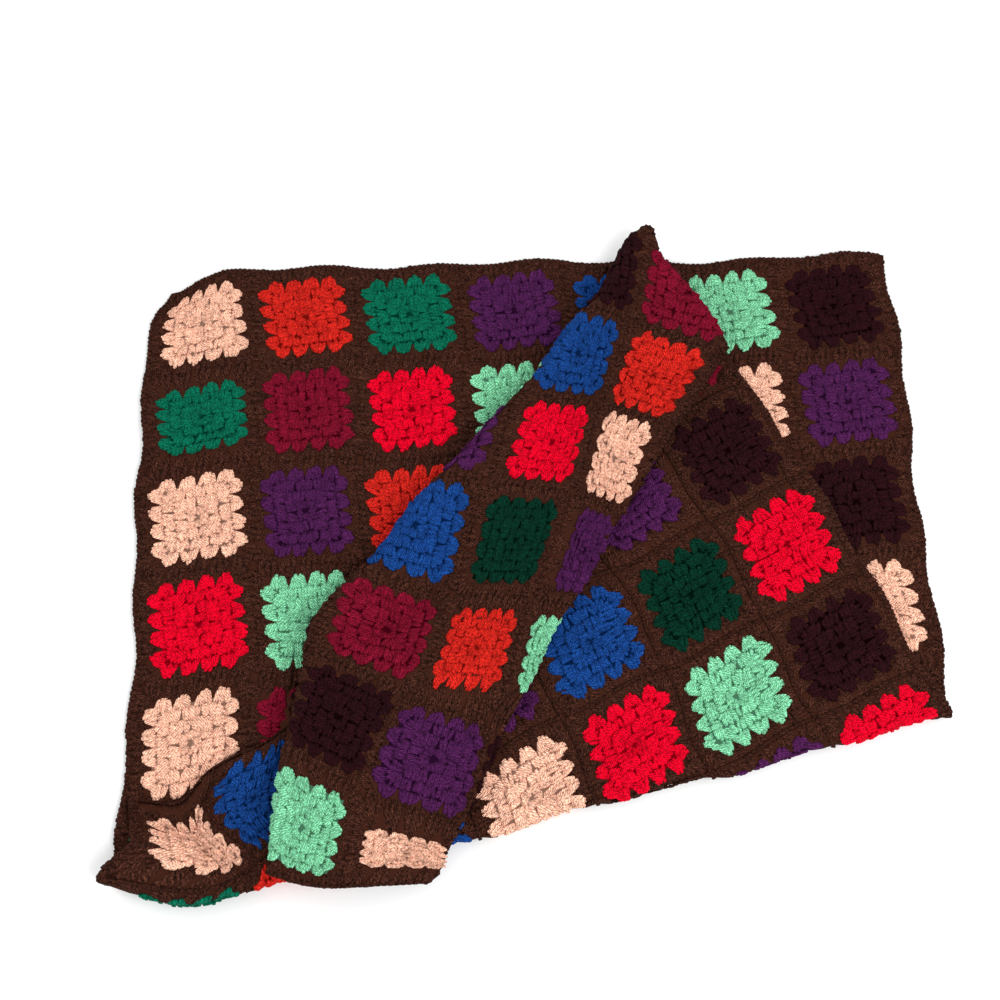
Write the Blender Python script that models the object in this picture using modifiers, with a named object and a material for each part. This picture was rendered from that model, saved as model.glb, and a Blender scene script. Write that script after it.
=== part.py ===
"""Granny square blanket: 7 by 11 crocheted squares joined into one cloth.

The cloth lies on a surface. Its lower edge is folded up over the rest along
the hem crease, the folded part is turned back along the back crease, and the
end of that band is tucked under. The sheet is laid out flat, cut along its
creases and then carried through the folds.

Flat places are given in squares: column c from 0 to 6 and row r from 0 to 10,
with square (0, 0) at the far left corner.
"""
import bmesh
import bpy
import numpy as np

# Driving dimensions, in metres.
PITCH = 0.127
THICK = 0.005
EDGING = 0.008
COLUMNS = 7
ROWS = 11
MIDDLE_ROW = 3.0
CELLS_PER_SQUARE = 4
MERGE = 0.0015

# Heights and bend radii of the folds, at the middle of the cloth.
HEM_BEND = 0.009
FLAP_REST = 0.0088
BACK_BEND = 0.017
BAND_REST = 0.021
BAND_DOME = 0.016
TUCK_BEND = 0.0042
SETTLE = 0.06
KNEE = 0.003
EDGE_LIFT = 0.012
EDGE_ROLL = 0.016
EDGE_RISE = 0.6
EDGE_FADE = 0.048
EDGE_COLUMNS = (1.0, 1.9)

# The hem's left end is a fuller roll, further up the cloth: columns, rows and metres.
LEFT_COLUMNS = (-0.2, 1.5)
LEFT_RISE = 0.12
LEFT_SWELL = 0.008

# Small waves of the cloth in its own plane: size, and length in squares.
WAVES = ((0.0028, 1.0), (0.0030, 2.7))

# How far the band is drawn together, as shares of its own size.
SQUEEZE = 0.273
GATHER = 0.165
GATHER_COLUMN = 2.4
GATHER_SPREAD = 0.5
CRUSH = 0.30
CRUSH_COLUMN = 1.3
CRUSH_SPREAD = 0.3

# Creases in the flat: column and row of a point, and rows per column.
HEM_CREASE = (3.0, 4.76, -0.219)
BACK_CREASE = (3.6, 8.066, 0.409)
LOWER_CREASE = (1.95, 7.32, -0.149)
UNDER_CREASE = (4.0, 10.494, 0.277)
CORNER_CREASE = (6.5, 9.5, -1.167)

# The hidden pleat at the left is left open as a notch: its corners, by column and row.
NOTCH = ((-0.8, 6.52), (1.2, 6.52), (2.15, 7.15), (-0.8, 7.64))

# Cuts across the bends: how many, the row they start at and the columns they run through.
HEM_CUTS = (5, 3.5, (-1.0, 7.0))
LEFT_CUTS = (6, 3.5, (-1.0, LEFT_COLUMNS[1]))
BACK_CUTS = (6, 6.2, (1.4, 7.0))
LOWER_CUTS = (6, 7.0, (-1.0, 2.2))
UNDER_CUTS = (4, 8.8, (-1.0, 7.0))
CORNER_CUTS = (4, 8.8, (5.0, 7.0))
CUT_SNAP = 0.00001

# Unevenness: column, row, reach, and moves to the right and away, in squares.
NUDGES = (
    (0.3, 2.4, 1.5, 0.07, 0.10),
    (2.2, 0.8, 1.0, -0.05, 0.10),
    (6.2, 2.2, 1.0, 0.03, 0.03),
    (6.5, 5.0, 0.8, 0.11, -0.04),
    (6.0, 7.0, 0.8, 0.07, 0.0),
    (4.4, 6.0, 0.8, 0.11, 0.03),
    (3.0, 5.0, 0.7, 0.06, -0.03),
    (1.2, 6.0, 0.5, -0.36, -0.09),
    (0.0, 6.0, 0.45, 0.49, -0.27),
    (0.0, 5.2, 0.5, 0.02, -0.17),
    (-0.3, 6.5, 0.5, 0.18, -0.15),
    (0.8, 6.5, 0.45, 0.51, 0.04),
    (-0.5, 6.0, 0.45, -0.54, 0.39),
    (-0.56, 5.3, 0.35, 0.01, 0.21),
    (2.4, 8.4, 0.7, 0.15, -0.23),
    (3.2, 9.4, 0.7, 0.15, -0.03),
    (4.2, 9.2, 0.6, 0.10, -0.05),
    (4.2, 10.2, 0.6, -0.08, 0.08),
    (4.0, 10.4, 0.4, -0.03, -0.09),
    (5.2, 9.6, 0.6, -0.05, -0.01),
    (6.4, 9.6, 0.5, -0.18, -0.08),
    (6.4, 9.1, 0.35, -0.06, 0.12),
    (5.6, 10.4, 0.6, 0.04, -0.23),
    (1.2, 8.6, 0.7, 0.16, -0.15),
    (0.0, 8.2, 0.5, -0.06, -0.12),
    (0.0, 9.3, 0.6, 0.01, -0.27),
    (1.6, 9.8, 0.6, 0.09, -0.11),
    (-0.5, 7.8, 0.5, 0.05, -0.13),
    (-0.5, 9.4, 0.5, 0.28, 0.35),
    (-0.56, -0.56, 0.36, 0.22, -0.12),
    (0.9, 9.6, 0.55, 0.12, -0.02),
    (1.6, 8.1, 0.4, 0.09, 0.0),
    (0.5, 6.2, 0.35, -0.56, 0.01),
    (0.6, 5.6, 0.35, 0.06, 0.07),
    (0.1, 6.3, 0.3, -0.15, -0.14),
    (-0.56, -0.56, 0.16, 0.06, -0.06),
    (1.0, 8.5, 0.4, -0.1, 0.0),
)

# Places where the flap stands up from the cloth below: column, row, reach, lift.
PUFFS = (
    (0.5, 6.0, 0.40, 0.010),
    (5.9, 6.4, 0.60, 0.004),
    (3.6, 5.6, 0.50, 0.004),
)

BROWN = (0.052, 0.026, 0.015, 1.0)
ROUGHNESS = 0.95

# The least width of the band, and the largest power used in a smooth change.
LEAST = 0.0001
MOST_POWER = 60.0


def soft_step(low, high, value):
    """A smooth rise from 0 at low to 1 at high."""
    share = np.clip((value - low) / (high - low), 0.0, 1.0)
    return share * share * (3.0 - 2.0 * share)


def to_plane(column, row):
    """Flat metres of a place given in squares."""
    return (column - (COLUMNS - 1) / 2) * PITCH, (MIDDLE_ROW - row) * PITCH


def to_squares(x, y):
    """Column and row of a flat place in metres."""
    return x / PITCH + (COLUMNS - 1) / 2, MIDDLE_ROW - y / PITCH


class Crease:
    """A straight crease in the flat; its far side has the greater rows."""

    def __init__(self, table_row):
        column, row, slope = table_row
        self.x, self.y = to_plane(column, row)
        angle = np.arctan(-slope)
        self.along = np.array((np.cos(angle), np.sin(angle)))
        self.far = np.array((np.sin(angle), -np.cos(angle)))

    def depth(self, x, y):
        """Distance past the crease, negative on the near side."""
        return (x - self.x) * self.far[0] + (y - self.y) * self.far[1]

    def mirror(self, x, y):
        """The place seen across the crease."""
        depth = self.depth(x, y)
        return x - 2.0 * depth * self.far[0], y - 2.0 * depth * self.far[1]

    def mirror_way(self, way_x, way_y):
        """A direction seen across the crease."""
        share = way_x * self.far[0] + way_y * self.far[1]
        return way_x - 2.0 * share * self.far[0], way_y - 2.0 * share * self.far[1]


def bend(depth, radius, inner):
    """Across place and height of cloth bent half a turn about a crease.

    The bend is centred on the crease, so cloth well to either side stays where
    a sharp fold would leave it: place = inner cos(a) - half and
    height = radius + inner sin(a), with a = depth / radius.
    """
    half = 0.5 * np.pi * radius
    angle = np.clip(depth / radius, -0.5 * np.pi, 0.5 * np.pi)
    place = np.where(abs(depth) < half, inner * np.cos(angle) - half, -abs(depth))
    return place, radius + inner * np.sin(angle)


def tuck_under(x, y, crease):
    """Cloth past the crease turned under; also how deep it lies."""
    depth = crease.depth(x, y)
    place, height = bend(depth, TUCK_BEND, TUCK_BEND)
    move = place - depth
    return x + move * crease.far[0], y + move * crease.far[1], height


def soft_ramp(start, spread, value):
    """Zero well above start, and a straight rise below it."""
    return spread * np.log1p(np.exp((start - value) / spread))


def turned_back(x, y):
    """The band past the back crease, lying on the flap: places, height, depth."""
    under = Crease(UNDER_CREASE)
    back = Crease(BACK_CREASE)
    lower = Crease(LOWER_CREASE)
    x, y, first = tuck_under(x, y, under)
    x, y, second = tuck_under(x, y, Crease(CORNER_CREASE))
    buried = first + second
    column = to_squares(x, y)[0]

    by_back = back.depth(x, y)
    by_lower = lower.depth(x, y)
    share = 1.0 / (1.0 + np.exp(np.clip((by_back - by_lower) / KNEE, -MOST_POWER, MOST_POWER)))
    least = np.minimum(by_back, by_lower)
    spare = np.exp((least - by_back) / KNEE) + np.exp((least - by_lower) / KNEE)
    depth = least - KNEE * np.log(spare)
    way_x = share * back.far[0] + (1.0 - share) * lower.far[0]
    way_y = share * back.far[1] + (1.0 - share) * lower.far[1]
    size = np.hypot(way_x, way_y)
    out_x, out_y = back.mirror_way(-way_x / size, -way_y / size)

    half = 0.5 * np.pi * BACK_BEND
    place, height = bend(depth, BACK_BEND, BACK_BEND - buried)
    past = np.clip(depth - half, 0.0, None)
    left = np.clip(-under.depth(x, y), 0.0, None) + LEAST
    across = past / (past + left)
    height = height - (2.0 * BACK_BEND - BAND_REST) * soft_step(0.0, 1.0, across)
    height = height + BAND_DOME * np.sin(np.pi * across) ** 2
    shift = place + depth
    shift = shift + SQUEEZE * past
    gather = GATHER * PITCH * soft_ramp(GATHER_COLUMN, GATHER_SPREAD, column)
    x, y = back.mirror(x, y)
    x = x + out_x * shift + back.along[0] * gather
    y = y + out_y * shift + back.along[1] * gather
    return x, y, height, depth


def notch_side(x, y):
    """Distance from the notch's side on the flap, positive on the flap."""
    (start_x, start_y), (end_x, end_y) = to_plane(*NOTCH[0]), to_plane(*NOTCH[1])
    size = np.hypot(end_x - start_x, end_y - start_y)
    return ((end_x - start_x) * (y - start_y) - (end_y - start_y) * (x - start_x)) / size


def near_notch(x, y):
    """Falls from 1 at the notch's side on the flap to 0 well inside it."""
    return 1.0 - soft_step(EDGE_ROLL, EDGE_FADE, notch_side(x, y))


def folded(x, y):
    """The whole fold: flat metres to the place of the middle of the cloth."""
    hem = Crease(HEM_CREASE)
    column, row = to_squares(x, y)
    at_left = 1.0 - soft_step(*LEFT_COLUMNS, column)
    straight = hem.depth(x, y)
    depth = straight + LEFT_RISE * PITCH * at_left
    radius = HEM_BEND + LEFT_SWELL * at_left
    half = 0.5 * np.pi * radius
    place, height = bend(depth, radius, radius)
    past_hem = soft_step(half, half + SETTLE, depth)
    height = height - (2.0 * radius - FLAP_REST) * past_hem
    for at_column, at_row, reach, lift in PUFFS:
        gap = (column - at_column) ** 2 + (row - at_row) ** 2
        height = height + lift * past_hem * np.exp(-gap / (2.0 * reach * reach))
    low_side = 1.0 - soft_step(0.0, EDGE_ROLL, notch_side(x, y))
    rolled = (EDGE_RISE - low_side) * (1.0 - soft_step(*EDGE_COLUMNS, column))
    height = height + EDGE_LIFT * rolled * past_hem * near_notch(x, y)
    move = place - LEFT_RISE * PITCH * at_left - straight
    crush = CRUSH * PITCH * soft_ramp(CRUSH_COLUMN, CRUSH_SPREAD, column)
    flap_x = x + move * hem.far[0] + crush * soft_step(0.0, SETTLE, depth)
    flap_y = y + move * hem.far[1]

    band_x, band_y, band_height, band_depth = turned_back(x, y)
    band_x, band_y = hem.mirror(band_x, band_y)
    on_band = band_depth > -0.5 * np.pi * BACK_BEND
    far_x = np.where(on_band, band_x, flap_x)
    far_y = np.where(on_band, band_y, flap_y)
    height = np.where(on_band, FLAP_REST + band_height, height)
    for size, length in WAVES:
        far_x = far_x + size * np.sin(2.0 * np.pi * row / length)
        far_y = far_y + size * np.sin(2.0 * np.pi * column / length)
    for at_column, at_row, reach, right, away in NUDGES:
        gap = (column - at_column) ** 2 + (row - at_row) ** 2
        weight = PITCH * np.exp(-gap / (2.0 * reach * reach))
        far_x = far_x + right * weight
        far_y = far_y + away * weight
    return far_x, far_y, height + 0.5 * THICK


def cut_along(sheet, crease, offset, first_row, columns):
    """Cuts the flat sheet along a line beside a crease, from a row on, in some columns."""
    chosen = set()
    for face in sheet.faces:
        middle = face.calc_center_median()
        column, row = to_squares(middle.x, middle.y)
        if row > first_row and columns[0] < column < columns[1]:
            chosen.add(face)
            chosen.update(face.edges)
            chosen.update(face.verts)
    point = (
        crease.x + offset * crease.far[0],
        crease.y + offset * crease.far[1],
        0.0,
    )
    bmesh.ops.bisect_plane(
        sheet,
        geom=list(chosen),
        dist=CUT_SNAP,
        plane_co=point,
        plane_no=(crease.far[0], crease.far[1], 0.0),
    )


def cut_bend(sheet, table_row, radius, cuts, shift=0.0):
    """Cuts the sheet evenly across one bend, moved by shift from its crease."""
    count, first_row, columns = cuts
    half = 0.5 * np.pi * radius
    for offset in np.linspace(-half, half, count):
        cut_along(sheet, Crease(table_row), offset + shift, first_row, columns)


def flat_sheet():
    """The cloth laid out flat, cut along its creases, with its notch."""
    sheet = bmesh.new()
    across = COLUMNS * CELLS_PER_SQUARE
    along = ROWS * CELLS_PER_SQUARE
    bmesh.ops.create_grid(sheet, x_segments=across, y_segments=along, size=0.5)
    width = COLUMNS * PITCH + 2.0 * EDGING
    length = ROWS * PITCH + 2.0 * EDGING
    middle = to_plane(0.0, (ROWS - 1) / 2)[1]
    for point in sheet.verts:
        point.co.x = point.co.x * width
        point.co.y = point.co.y * length + middle
    cut_bend(sheet, HEM_CREASE, HEM_BEND, HEM_CUTS)
    cut_bend(sheet, HEM_CREASE, HEM_BEND + LEFT_SWELL, LEFT_CUTS, -LEFT_RISE * PITCH)
    cut_bend(sheet, BACK_CREASE, BACK_BEND, BACK_CUTS)
    cut_bend(sheet, LOWER_CREASE, BACK_BEND, LOWER_CUTS)
    cut_bend(sheet, UNDER_CREASE, TUCK_BEND, UNDER_CUTS)
    cut_bend(sheet, CORNER_CREASE, TUCK_BEND, CORNER_CUTS)
    open_notch(sheet)
    bmesh.ops.remove_doubles(sheet, verts=sheet.verts, dist=MERGE)
    bmesh.ops.triangulate(sheet, faces=sheet.faces)
    return sheet


def open_notch(sheet):
    """Cuts the notch's two sides and takes out what lies between them."""
    corners = [to_plane(column, row) for column, row in NOTCH]
    sides = []
    for start, end in zip(corners[:-1], corners[1:]):
        way = np.subtract(end, start)
        way = way / np.hypot(*way)
        outward = (-way[1], way[0], 0.0)
        sides.append((start, outward))
        bmesh.ops.bisect_plane(
            sheet,
            geom=[*sheet.verts, *sheet.edges, *sheet.faces],
            dist=CUT_SNAP,
            plane_co=(*start, 0.0),
            plane_no=outward,
        )
    inside = []
    for face in sheet.faces:
        middle = face.calc_center_median()
        ways = [
            (middle.x - start[0]) * outward[0] + (middle.y - start[1]) * outward[1]
            for start, outward in sides
        ]
        if max(ways) < 0.0:
            inside.append(face)
    bmesh.ops.delete(sheet, geom=inside, context="FACES")


def yarn_material():
    """The brown wool that joins the squares."""
    material = bpy.data.materials.new("brown_wool")
    material.use_nodes = True
    shader = material.node_tree.nodes["Principled BSDF"]
    shader.inputs["Base Color"].default_value = BROWN
    shader.inputs["Roughness"].default_value = ROUGHNESS
    shader.inputs["Metallic"].default_value = 0.0
    return material


def build_blanket():
    """Folds the flat sheet, gives it its thickness and centres it."""
    sheet = flat_sheet()
    flat = np.array([point.co[:] for point in sheet.verts])
    places = np.stack(folded(flat[:, 0], flat[:, 1]), axis=1)
    middle = 0.5 * (places.min(axis=0) + places.max(axis=0))
    places[:, 0] -= middle[0]
    places[:, 1] -= middle[1]
    for point, place in zip(sheet.verts, places):
        point.co = place
    mesh = bpy.data.meshes.new("blanket")
    sheet.to_mesh(mesh)
    sheet.free()
    mesh.materials.append(yarn_material())
    blanket = bpy.data.objects.new("blanket", mesh)
    thickness = blanket.modifiers.new("thickness", "SOLIDIFY")
    thickness.thickness = THICK
    thickness.offset = 0.0
    thickness.use_even_offset = True
    return blanket


def main():
    """Clears the scene and builds the blanket in its own collection."""
    for old in list(bpy.data.objects):
        bpy.data.objects.remove(old, do_unlink=True)
    collection = bpy.data.collections.new("granny_square_blanket")
    bpy.context.scene.collection.children.link(collection)
    collection.objects.link(build_blanket())


main()
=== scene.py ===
"""Looks of the granny square blanket: every stitch of yarn, laid along the folded cloth.

The cloth is described in the flat, in squares: column c from 0 to 6 and row r
from 0 to 10, square (0, 0) at the far left. Class Folds carries any flat place,
with a height above or below the middle of the cloth, to its folded place. The
stitches are worked out in the flat and carried through the folds as arrays.
Lengths are in metres, places on the cloth in squares. RIM is how far the rim lies
past the middle of an outer square, in squares.
"""

import logging
from dataclasses import dataclass, field
from enum import Enum
from typing import Dict, List, Sequence, Tuple, Union

import bpy
import numpy as np
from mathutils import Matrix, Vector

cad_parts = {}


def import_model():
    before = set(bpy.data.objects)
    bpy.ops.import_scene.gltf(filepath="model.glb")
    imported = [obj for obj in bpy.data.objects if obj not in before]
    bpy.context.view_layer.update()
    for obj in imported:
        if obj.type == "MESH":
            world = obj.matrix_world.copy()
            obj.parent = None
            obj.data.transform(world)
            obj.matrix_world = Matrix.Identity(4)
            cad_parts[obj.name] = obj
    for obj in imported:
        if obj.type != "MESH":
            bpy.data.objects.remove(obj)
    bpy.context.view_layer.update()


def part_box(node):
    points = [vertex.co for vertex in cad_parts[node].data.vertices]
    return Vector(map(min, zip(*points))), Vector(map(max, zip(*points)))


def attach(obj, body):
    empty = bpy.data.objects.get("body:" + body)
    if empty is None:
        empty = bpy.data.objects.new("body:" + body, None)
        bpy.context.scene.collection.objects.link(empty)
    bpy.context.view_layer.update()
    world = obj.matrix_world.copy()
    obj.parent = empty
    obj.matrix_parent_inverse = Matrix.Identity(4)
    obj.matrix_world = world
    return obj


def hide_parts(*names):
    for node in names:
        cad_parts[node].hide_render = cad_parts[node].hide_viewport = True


logging.basicConfig(level=logging.INFO, format="%(message)s")
LOG = logging.getLogger("blanket")

Array = np.ndarray
Pair = Tuple[Array, Array]

PITCH = 0.127
COLUMNS = 7
ROWS = 11
MIDDLE_ROW = 3.0
RIM = 0.563
EDGING = 0.008
ROUND = 0.0132
BROWN_MOTTLE = 0.95
THICK = 0.005
FIT_GRID = (400, 700)
TINY = 1e-12
SEED = 11


class Yarn(Enum):
    """Named yarns, each with its base colour in sRGB."""

    BROWN = (0.248, 0.133, 0.097)
    PEACH = (1.000, 0.767, 0.660)
    ORANGE = (0.828, 0.151, 0.114)
    TEAL = (0.023, 0.419, 0.313)
    PURPLE = (0.305, 0.115, 0.306)
    BLUE = (0.087, 0.262, 0.535)
    MINT = (0.518, 0.834, 0.649)
    AUBERGINE = (0.162, 0.049, 0.072)
    MAROON = (0.492, 0.058, 0.163)
    RED = (0.910, 0.006, 0.154)
    GREEN = (0.012, 0.192, 0.135)


# The colour of each square, a row of the blanket to a line.
LAYOUT: Tuple[Tuple[Yarn, ...], ...] = (
    (Yarn.PEACH, Yarn.ORANGE, Yarn.TEAL, Yarn.PURPLE, Yarn.BLUE, Yarn.MINT, Yarn.AUBERGINE),
    (Yarn.TEAL, Yarn.MAROON, Yarn.RED, Yarn.MINT, Yarn.ORANGE, Yarn.PEACH, Yarn.PURPLE),
    (Yarn.PEACH, Yarn.PURPLE, Yarn.ORANGE, Yarn.GREEN, Yarn.BLUE, Yarn.RED, Yarn.AUBERGINE),
    (Yarn.RED, Yarn.MINT, Yarn.BLUE, Yarn.PEACH, Yarn.MAROON, Yarn.PURPLE, Yarn.PEACH),
    (Yarn.PEACH, Yarn.MAROON, Yarn.PURPLE, Yarn.GREEN, Yarn.MINT, Yarn.PURPLE, Yarn.RED),
    (Yarn.TEAL, Yarn.ORANGE, Yarn.BLUE, Yarn.PEACH, Yarn.RED, Yarn.MINT, Yarn.AUBERGINE),
    (Yarn.PEACH, Yarn.BLUE, Yarn.RED, Yarn.PURPLE, Yarn.BLUE, Yarn.GREEN, Yarn.RED),
    (Yarn.MAROON, Yarn.AUBERGINE, Yarn.AUBERGINE, Yarn.PEACH, Yarn.MINT, Yarn.PURPLE, Yarn.AUBERGINE),
    (Yarn.MINT, Yarn.AUBERGINE, Yarn.MAROON, Yarn.BLUE, Yarn.PURPLE, Yarn.RED, Yarn.MAROON),
    (Yarn.PEACH, Yarn.PURPLE, Yarn.ORANGE, Yarn.GREEN, Yarn.RED, Yarn.BLUE, Yarn.AUBERGINE),
    (Yarn.TEAL, Yarn.AUBERGINE, Yarn.MINT, Yarn.PURPLE, Yarn.PEACH, Yarn.ORANGE, Yarn.MAROON),
)

DRAWN_IN: Dict[Tuple[int, int], Tuple[float, float]] = {
    (0, 1): (1.0, 0.82),
    (0, 6): (1.0, 0.8),
    (1, 6): (1.05, 1.0),
    (5, 7): (0.92, 0.92),
    (0, 8): (0.9, 0.95),
    (0, 9): (0.5, 0.9),
    (1, 9): (1.1, 1.15),
    (2, 9): (0.86, 0.95),
    (3, 9): (0.88, 0.9),
    (4, 9): (1.0, 0.85),
    (5, 9): (1.0, 0.95),
    (2, 10): (0.85, 0.75),
    (3, 10): (0.9, 0.56),
    (4, 10): (1.05, 0.8),
    (5, 10): (1.1, 0.92),
}
"""Squares drawn in or let out, by column and row, with their sizes to the right and away."""

TURNED_ROWS: Tuple[int, ...] = (5, 6, 7)
"""Rows of squares that lie with their reverse up, so that their clusters overlap the other way."""

TURNED_SQUARES: Tuple[Tuple[int, int], ...] = ((5, 4), (6, 4))
"""Single squares beside those rows that lie the same way."""


def soft_step(low: float, high: float, value: Array) -> Array:
    """A smooth rise from 0 at low to 1 at high: s s (3 - 2 s).

    Args:
        low: where the rise starts.
        high: where it ends.
        value: the places to read it at.

    Returns:
        The share risen at each place.
    """
    share = np.clip((value - low) / (high - low), 0.0, 1.0)
    return share * share * (3.0 - 2.0 * share)


def soft_ramp(start: float, spread: float, value: Array) -> Array:
    """Zero well above start and a straight rise below it: spread log(1 + e^((start - value) / spread)).

    Args:
        start: where the ramp begins.
        spread: how softly it begins.
        value: the places to read it at.

    Returns:
        The ramp's height at each place.
    """
    return spread * np.log1p(np.exp((start - value) / spread))


def to_plane(column: Array, row: Array) -> Pair:
    """Flat metres of a place given in squares."""
    return (column - (COLUMNS - 1) / 2) * PITCH, (MIDDLE_ROW - row) * PITCH


def to_squares(x: Array, y: Array) -> Pair:
    """Column and row of a flat place in metres."""
    return x / PITCH + (COLUMNS - 1) / 2, MIDDLE_ROW - y / PITCH


@dataclass(frozen=True)
class Crease:
    """A straight crease in the flat; its far side has the greater rows."""

    column: float
    row: float
    slope: float

    @property
    def far(self) -> Tuple[float, float]:
        """The unit direction across the crease, to its far side."""
        angle = np.arctan(-self.slope)
        return float(np.sin(angle)), float(-np.cos(angle))

    @property
    def along(self) -> Tuple[float, float]:
        """The unit direction along the crease, to the greater columns."""
        angle = np.arctan(-self.slope)
        return float(np.cos(angle)), float(np.sin(angle))

    def depth(self, x: Array, y: Array) -> Array:
        """Distance past the crease, negative on its near side."""
        at_x, at_y = to_plane(self.column, self.row)
        return (x - at_x) * self.far[0] + (y - at_y) * self.far[1]

    def mirror(self, x: Array, y: Array) -> Pair:
        """The place seen across the crease: p - 2 depth far."""
        depth = self.depth(x, y)
        return x - 2.0 * depth * self.far[0], y - 2.0 * depth * self.far[1]

    def mirror_way(self, way_x: Array, way_y: Array) -> Pair:
        """A direction seen across the crease: w - 2 (w . far) far."""
        share = way_x * self.far[0] + way_y * self.far[1]
        return way_x - 2.0 * share * self.far[0], way_y - 2.0 * share * self.far[1]


@dataclass(frozen=True)
class Nudge:
    """A local shift of the cloth on the floor, in squares."""

    column: float
    row: float
    reach: float
    right: float
    away: float


@dataclass(frozen=True)
class Puff:
    """A local rise of the flap, its reach in squares and its lift in metres."""

    column: float
    row: float
    reach: float
    lift: float


@dataclass(frozen=True)
class Wrinkle:
    """A soft ridge or trough from one flat place to another, in squares and metres."""

    column: float
    row: float
    to_column: float
    to_row: float
    half_width: float
    lift: float


NUDGES: Tuple[Nudge, ...] = (
    Nudge(0.3, 2.4, 1.5, 0.07, 0.10),
    Nudge(2.2, 0.8, 1.0, -0.05, 0.10),
    Nudge(6.2, 2.2, 1.0, 0.03, 0.03),
    Nudge(6.5, 5.0, 0.8, 0.11, -0.04),
    Nudge(6.0, 7.0, 0.8, 0.07, 0.0),
    Nudge(4.4, 6.0, 0.8, 0.11, 0.03),
    Nudge(3.0, 5.0, 0.7, 0.06, -0.03),
    Nudge(1.2, 6.0, 0.5, -0.36, -0.09),
    Nudge(0.0, 6.0, 0.45, 0.49, -0.27),
    Nudge(0.0, 5.2, 0.5, 0.02, -0.17),
    Nudge(-0.3, 6.5, 0.5, 0.18, -0.15),
    Nudge(0.8, 6.5, 0.45, 0.51, 0.04),
    Nudge(-0.5, 6.0, 0.45, -0.54, 0.39),
    Nudge(-0.56, 5.3, 0.35, 0.01, 0.21),
    Nudge(2.4, 8.4, 0.7, 0.15, -0.23),
    Nudge(3.2, 9.4, 0.7, 0.15, -0.03),
    Nudge(4.2, 9.2, 0.6, 0.10, -0.05),
    Nudge(4.2, 10.2, 0.6, -0.08, 0.08),
    Nudge(4.0, 10.4, 0.4, -0.03, -0.09),
    Nudge(5.2, 9.6, 0.6, -0.05, -0.01),
    Nudge(6.4, 9.6, 0.5, -0.18, -0.08),
    Nudge(6.4, 9.1, 0.35, -0.06, 0.12),
    Nudge(5.6, 10.4, 0.6, 0.04, -0.23),
    Nudge(1.2, 8.6, 0.7, 0.16, -0.15),
    Nudge(0.0, 8.2, 0.5, -0.06, -0.12),
    Nudge(0.0, 9.3, 0.6, 0.01, -0.27),
    Nudge(1.6, 9.8, 0.6, 0.09, -0.11),
    Nudge(-0.5, 7.8, 0.5, 0.05, -0.13),
    Nudge(-0.5, 9.4, 0.5, 0.28, 0.35),
    Nudge(-0.56, -0.56, 0.36, 0.22, -0.12),
    Nudge(0.9, 9.6, 0.55, 0.12, -0.02),
    Nudge(1.6, 8.1, 0.4, 0.09, 0.0),
    Nudge(0.5, 6.2, 0.35, -0.56, 0.01),
    Nudge(0.6, 5.6, 0.35, 0.06, 0.07),
    Nudge(0.1, 6.3, 0.3, -0.15, -0.14),
    Nudge(-0.56, -0.56, 0.16, 0.06, -0.06),
    Nudge(1.0, 8.5, 0.4, -0.1, 0.0),
)

PUFFS: Tuple[Puff, ...] = (
    Puff(0.5, 6.0, 0.40, 0.010),
    Puff(5.9, 6.4, 0.60, 0.004),
    Puff(3.6, 5.6, 0.50, 0.004),
)

WRINKLES: Tuple[Wrinkle, ...] = (
    Wrinkle(-0.56, 1.05, 0.55, 0.95, 0.10, 0.006),
    Wrinkle(1.6, 7.75, 2.6, 8.35, 0.11, -0.009),
    Wrinkle(1.8, 8.35, 2.5, 8.55, 0.10, 0.006),
    Wrinkle(-0.4, 8.65, 0.9, 8.75, 0.12, -0.007),
    Wrinkle(4.5, 10.02, 3.5, 10.1, 0.11, -0.004),
    Wrinkle(-0.45, 6.1, 0.7, 6.35, 0.12, -0.007),
)


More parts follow.
